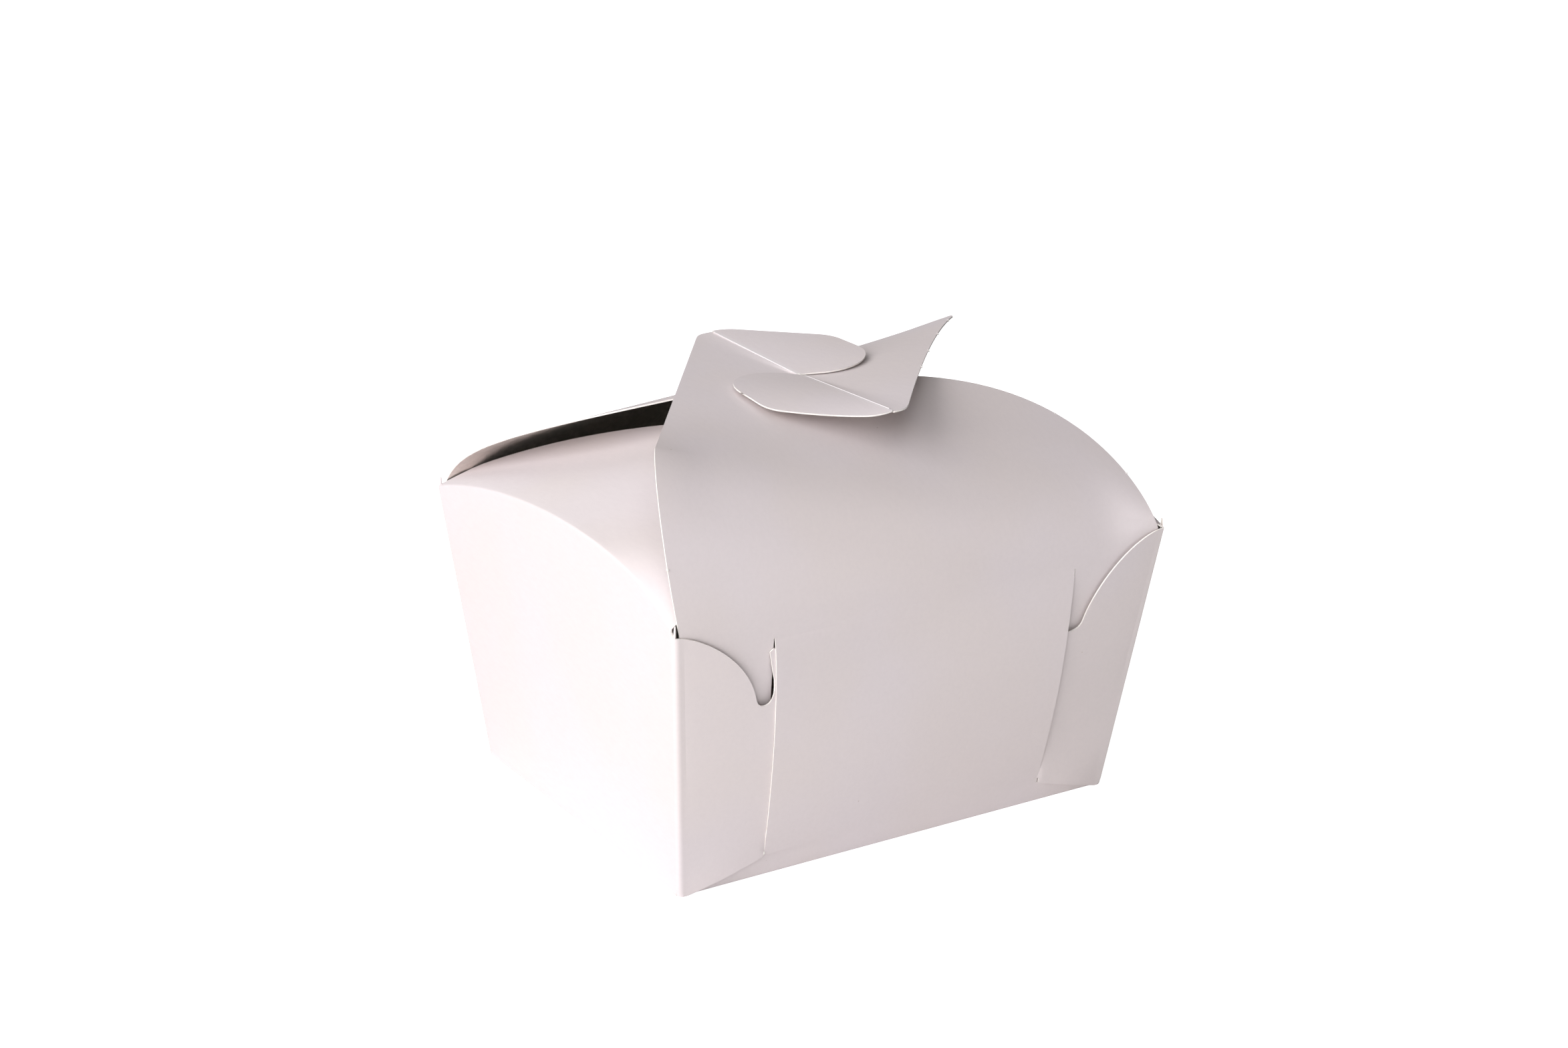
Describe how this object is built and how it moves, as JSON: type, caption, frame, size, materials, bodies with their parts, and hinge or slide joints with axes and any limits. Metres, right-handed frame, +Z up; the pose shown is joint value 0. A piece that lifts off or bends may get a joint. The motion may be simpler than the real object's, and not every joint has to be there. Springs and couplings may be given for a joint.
{
  "type": "pastry box",
  "caption": "Closed folded pastry box with flared walls, curved end shoulders, corner lock flaps and a twist-locked lid whose rounded tabs fold on scored lines.",
  "frame": {"origin": "middle of the bottom, on the surface the box stands on", "axes": "+X along the box's length, +Y from the front wall to the back wall, +Z up"},
  "size_m": [0.1488, 0.123, 0.1128],
  "materials": {
    "board": "white coated board, matt outside, silver inside"
  },
  "bodies": {
    "carton": {"carton": "board"},
    "front_tab": {"front_tab": "board"},
    "back_tab": {"back_tab": "board"}
  },
  "joints": [
    {"name": "front_tab_fold", "type": "hinge", "parent": "carton", "child": "front_tab", "pos_m": [0, 0, 0.1108], "axis": [-0.0399, 0.9987, 0.0325], "range_deg": [-70, 0]},
    {"name": "back_tab_fold", "type": "hinge", "parent": "carton", "child": "back_tab", "pos_m": [0.001, 0, 0.1108], "axis": [0.0399, -0.9987, 0.0325], "range_deg": [-70, 0]}
  ]
}
